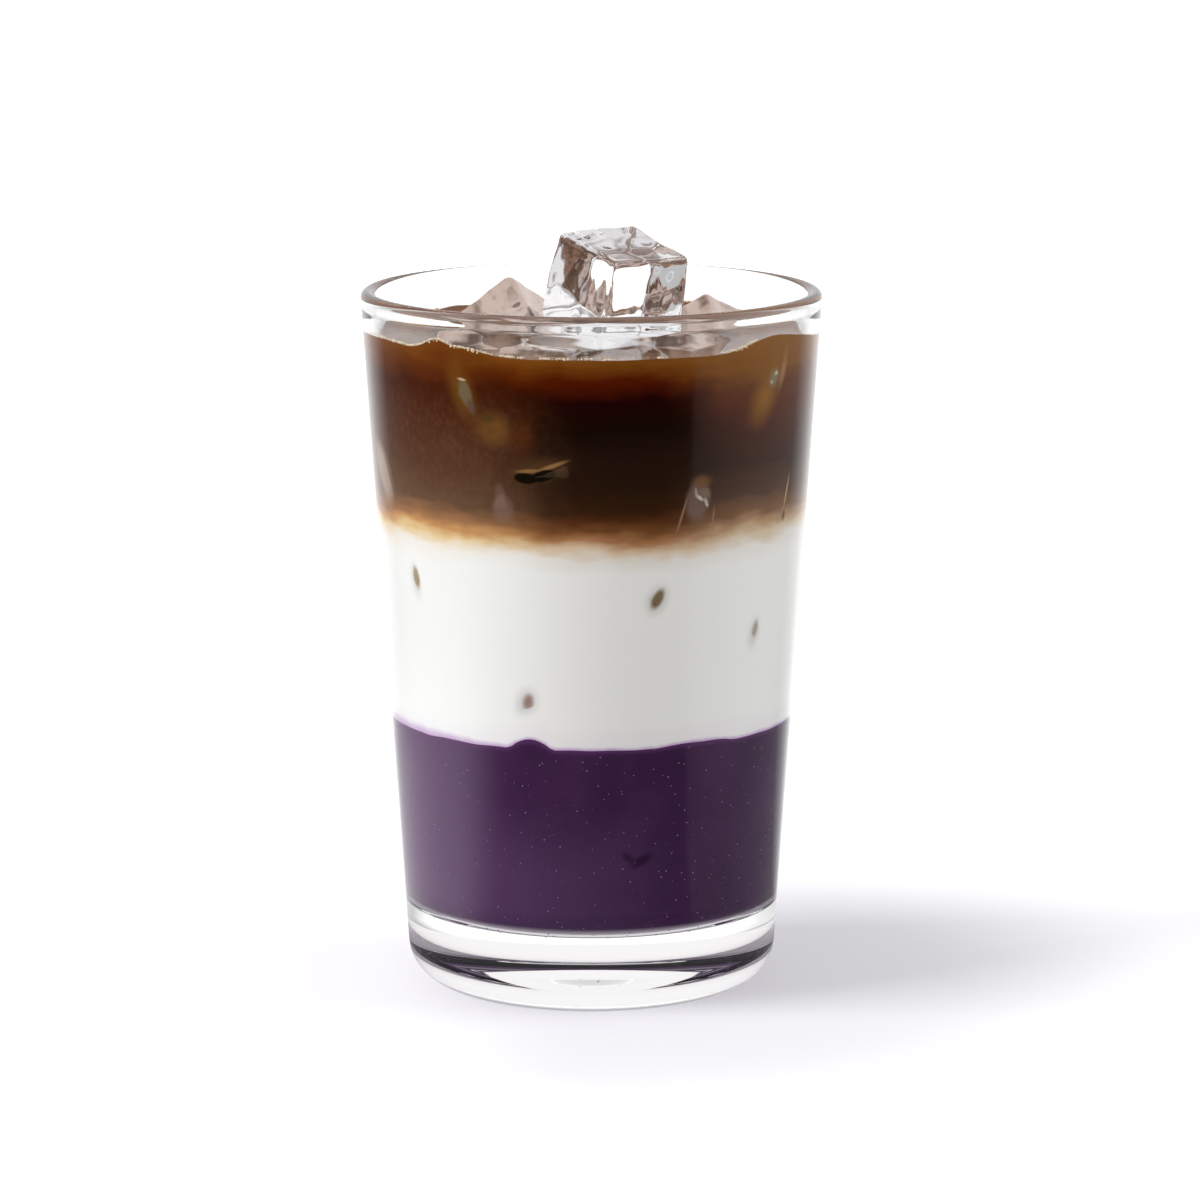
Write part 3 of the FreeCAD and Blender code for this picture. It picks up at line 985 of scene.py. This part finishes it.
def room_brightness(graph, x, y):
    """How bright the room is in a direction: dark in front, white at the back."""
    heading = x.math("ARCTAN2", y * -1.0)
    share = heading / (2 * math.pi) + 0.5
    ramp = graph.ramp(share, [((a + 180) / 360, (b, b, b)) for a, b in ROOM_STOPS])
    return graph.other(ramp, "Color"), heading


def build_world():
    world = bpy.data.worlds.new("studio")
    bpy.context.scene.world = world
    world.use_nodes = True
    world.node_tree.nodes.clear()
    graph = Graph(world.node_tree)
    direction = graph.add("ShaderNodeTexCoord", {}, {}, "Generated")
    x = graph.add("ShaderNodeSeparateXYZ", {}, [direction])
    heading = x.math("ARCTAN2", graph.other(x, "Y") * -1.0)
    aside = heading.math("ABSOLUTE").step(math.radians(20), math.radians(70), 0.42, 1.0)
    room = graph.mix(aside, (0.0, 0.0, 0.0), (1.0, 0.975, 0.98))
    overhead = graph.other(x, "Z").step(0.45, 0.85)
    room = graph.mix(overhead, room, (0.76, 0.74, 0.77))
    bent = graph.light_path("Is Glossy Ray").most(graph.light_path("Is Transmission Ray"))
    plain = graph.mix(bent, (AMBIENT, AMBIENT, AMBIENT), room)
    seen = graph.mix(graph.light_path("Is Camera Ray"), plain, (1.0, 1.0, 1.0))
    light = graph.add("ShaderNodeBackground", {}, {"Color": seen, "Strength": 1.0})
    graph.add("ShaderNodeOutputWorld", {}, {"Surface": light})


def floor_shader(graph):
    """White to the eye with the drink's soft shadow and the room's brightness in the glass. In the glass the
    floor has a painted contact shadow round the foot, and the glow the eye sees is painted light, stronger
    left of the drink and far away.
    """
    place = graph.add("ShaderNodeTexCoord", {}, {}, "Object")
    x = graph.add("ShaderNodeSeparateXYZ", {}, [place])
    y = graph.other(x, "Y")
    room, heading = room_brightness(graph, x, y)
    distance = (x * x + y * y).math("SQRT")
    left = heading.step(math.radians(-45), math.radians(-78)) * heading.step(-3.0, -2.2)
    near_room = graph.mix(distance.step(0.34, 0.16) * left, room, (0.80, 0.80, 0.80))
    near_room = graph.mix(distance.step(0.085, 0.06), near_room, (0.62, 0.60, 0.63))
    # painted shadow: a dark ring round the foot, seen through the glass
    painted_contact_shadow = distance.step(0.032, 0.040) * distance.step(0.060, 0.049)
    near_room = graph.mix(painted_contact_shadow, near_room, (0.26, 0.25, 0.27))
    through = graph.light_path("Is Transmission Ray") * distance.step(0.060, 0.070)
    near_room = graph.mix(through, near_room, graph.other(near_room, "Result").most(0.42))
    bright = graph.add("ShaderNodeEmission", {}, [near_room, ROOM_BRIGHTEST])
    soft = graph.add("ShaderNodeEmission", {}, [(AMBIENT, AMBIENT, AMBIENT, 1.0), 1.0])
    cloth = graph.add("ShaderNodeBsdfDiffuse", {}, [(0.905, 0.895, 0.935, 1.0)])
    # painted light: the glow is stronger left of the drink, where it hides the right-hand lamp's shadow, and
    # grows with distance, whitening the far floor and fading the end of the drink's shadow
    painted_light_left = graph.mix(x.step(0.0, -0.045), (0.03, 0.03, 0.03), (0.20, 0.20, 0.20))
    far = graph.mix(distance.step(0.065, 0.13), painted_light_left, (0.30, 0.30, 0.30))
    far = graph.mix(distance.step(0.13, 0.9), far, (0.9, 0.9, 0.9))
    glow = graph.add("ShaderNodeEmission", {}, [far, 1.0])
    seen = graph.add("ShaderNodeAddShader", {}, [cloth, glow])
    bent = graph.light_path("Is Glossy Ray").most(graph.light_path("Is Transmission Ray"))
    other = graph.shaders(bent, soft, bright)
    return graph.shaders(graph.light_path("Is Camera Ray"), other, seen)


build_world()
tools = bmesh.new()
bmesh.ops.create_grid(tools, x_segments=1, y_segments=1, size=8.0)
floor = finish_mesh("table", tools, [material("white_table", floor_shader)])


def soft_lamp(name, heading, height, distance, size, power):
    """A large square lamp that points at the middle of the drink, unseen in the glass."""
    data = bpy.data.lights.new(name, "AREA")
    data.size = size
    data.energy = power
    lamp = bpy.data.objects.new(name, data)
    flat = distance * math.cos(math.radians(height))
    x, y = heading_xy(flat, heading)
    lamp.location = (x, y, distance * math.sin(math.radians(height)))
    aim = Vector((0, 0, 0.07)) - lamp.location
    lamp.rotation_euler = aim.to_track_quat("-Z", "Y").to_euler()
    lamp.visible_glossy = False
    lamp.visible_transmission = False
    bpy.context.scene.collection.objects.link(lamp)
    return lamp


soft_lamp("key_left", -71, 33, 1.5, 0.75, 14.5)
soft_lamp("fill_right", 88, 35, 1.5, 0.8, 6.0)

# %% [markdown]
# ## The camera
# A long lens a metre away, a little above the rim, so that the mouth of the glass is a slim ellipse.

# %% Camera
camera_data = bpy.data.cameras.new("camera")
camera_data.lens = 158.6
camera_data.sensor_width = 36.0
camera = bpy.data.objects.new("camera", camera_data)
camera.location = (1.65 * MM, -1.0, 0.259)
camera.rotation_euler = (math.radians(90 - 10.47), 0, 0)
bpy.context.scene.collection.objects.link(camera)
bpy.context.scene.camera = camera
bpy.context.scene.view_settings.view_transform = "Standard"
